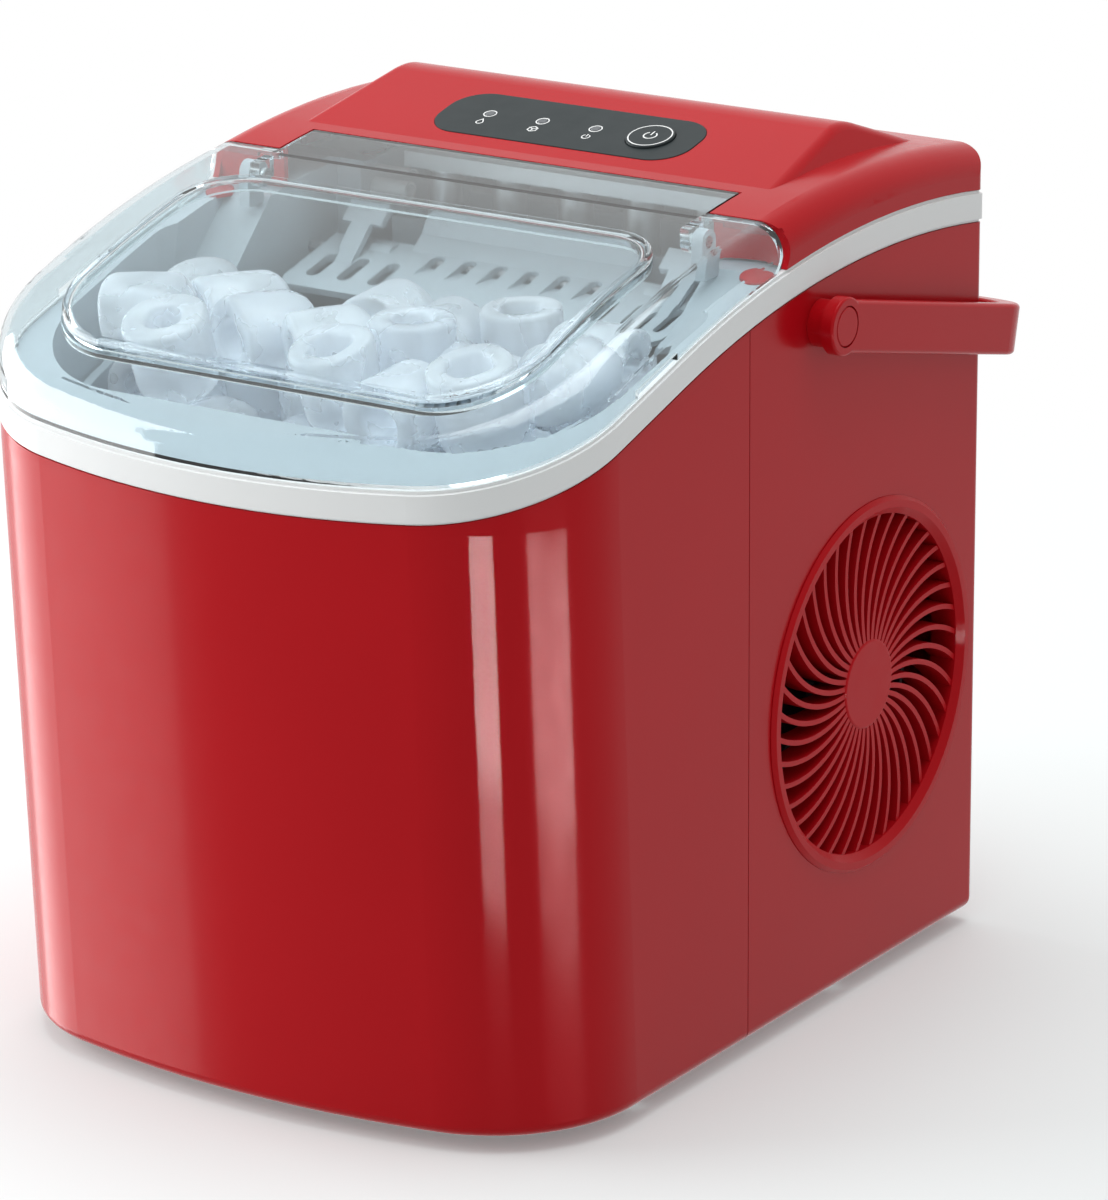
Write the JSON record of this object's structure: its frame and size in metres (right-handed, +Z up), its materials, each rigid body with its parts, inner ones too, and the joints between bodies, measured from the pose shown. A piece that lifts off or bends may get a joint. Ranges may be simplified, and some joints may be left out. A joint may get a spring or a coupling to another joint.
{
  "type": "countertop ice maker",
  "caption": "Compact countertop ice maker: rounded casing, pale band, clear hinged lid over an ice basket, round side grilles, raised control panel and carrying handle.",
  "frame": {"origin": "on the floor, under the middle of the overall width and depth with the handle down", "axes": "+Z up, -Y towards the front where the lid is, +X towards the right-hand side seen from the rear"},
  "size_m": [0.2428, 0.2972, 0.2843],
  "materials": {
    "red_shell": "gloss",
    "white_trim": "satin",
    "grey_plastic": "matt",
    "black_plastic": "matt",
    "black_panel": "gloss",
    "black_metal": "satin",
    "liner": "satin",
    "clear_lid": "clear gloss",
    "lens": "gloss",
    "board": "satin",
    "rubber": "matt",
    "silicone": "satin",
    "foam": "matt",
    "steel": "satin",
    "nickel": "bright",
    "copper": "satin",
    "aluminium": "satin"
  },
  "bodies": {
    "housing": {"base_pan": "grey_plastic", "rubber_feet": "rubber", "base_screws": "steel", "front_shell": "red_shell", "rear_housing": "red_shell", "trim_band": "white_trim", "top_cover": "red_shell", "control_panel": "black_panel", "indicator_lenses": "lens", "control_board": "board", "power_board": "board", "side_grille_right": "red_shell", "side_grille_left": "red_shell", "cord_inlet": "black_plastic", "handle_pivots": "red_shell", "hinge_pins": "steel", "deck_plugs": "red_shell", "inner_tub": "liner", "tub_insulation": "foam", "shovel_rod": "steel", "evaporator": "nickel", "tray_motor": "black_plastic", "compressor": "black_metal", "compressor_mounts": "rubber", "suction_pipe": "copper", "discharge_pipe": "copper", "condenser": "aluminium", "filter_drier": "copper", "fan_motor": "steel", "fan_shroud": "black_plastic", "water_pump": "black_plastic", "pump_hose": "silicone", "drain_hose": "silicone"},
    "lid": {"lid": "clear_lid"},
    "handle": {"handle": "red_shell"},
    "button": {"power_button": "black_panel"},
    "shovel": {"ice_shovel": "liner"},
    "tray": {"water_tray": "liner"},
    "fan": {"fan_rotor": "black_plastic"},
    "basket": {"ice_basket": "liner"},
    "drain": {"drain_plug": "rubber"}
  },
  "joints": [
    {"name": "lid_hinge", "type": "hinge", "parent": "housing", "child": "lid", "pos_m": [0, -0.00373, 0.26236], "axis": [-1, 0, 0], "range_deg": [0, 75]},
    {"name": "handle_swing", "type": "hinge", "parent": "housing", "child": "handle", "pos_m": [0, 0.02637, 0.23427], "axis": [1, 0, 0], "range_deg": [0, 103.4]},
    {"name": "power_press", "type": "slide", "parent": "housing", "child": "button", "axis": [0, 0.2284, -0.9736], "range_m": [0, 0.0008], "stiffness_N_per_m": 700, "springref_m": -0.0008},
    {"name": "tray_tilt", "type": "hinge", "parent": "housing", "child": "tray", "pos_m": [0, 0.09147, 0.244], "axis": [1, 0, 0], "range_deg": [0, 55]},
    {"name": "shovel_dip", "type": "hinge", "parent": "housing", "child": "shovel", "pos_m": [0, 0.02397, 0.23261], "axis": [1, 0, 0], "range_deg": [0, 18.4]},
    {"name": "fan_spin", "type": "hinge", "parent": "housing", "child": "fan", "pos_m": [0, 0.06052, 0.1045], "axis": [1, 0, 0], "continuous": true},
    {"name": "basket_lift", "type": "slide", "parent": "housing", "child": "basket", "axis": [0, 0, 1], "range_m": [0, 0.03]},
    {"name": "drain_turn", "type": "hinge", "parent": "housing", "child": "drain", "pos_m": [-0.04, -0.07053, 0], "axis": [0, 0, 1], "range_deg": [0, 90]}
  ],
  "couplings": [
    {"joint": "shovel_dip", "follows": "tray_tilt", "ratio": 0.32727}
  ]
}
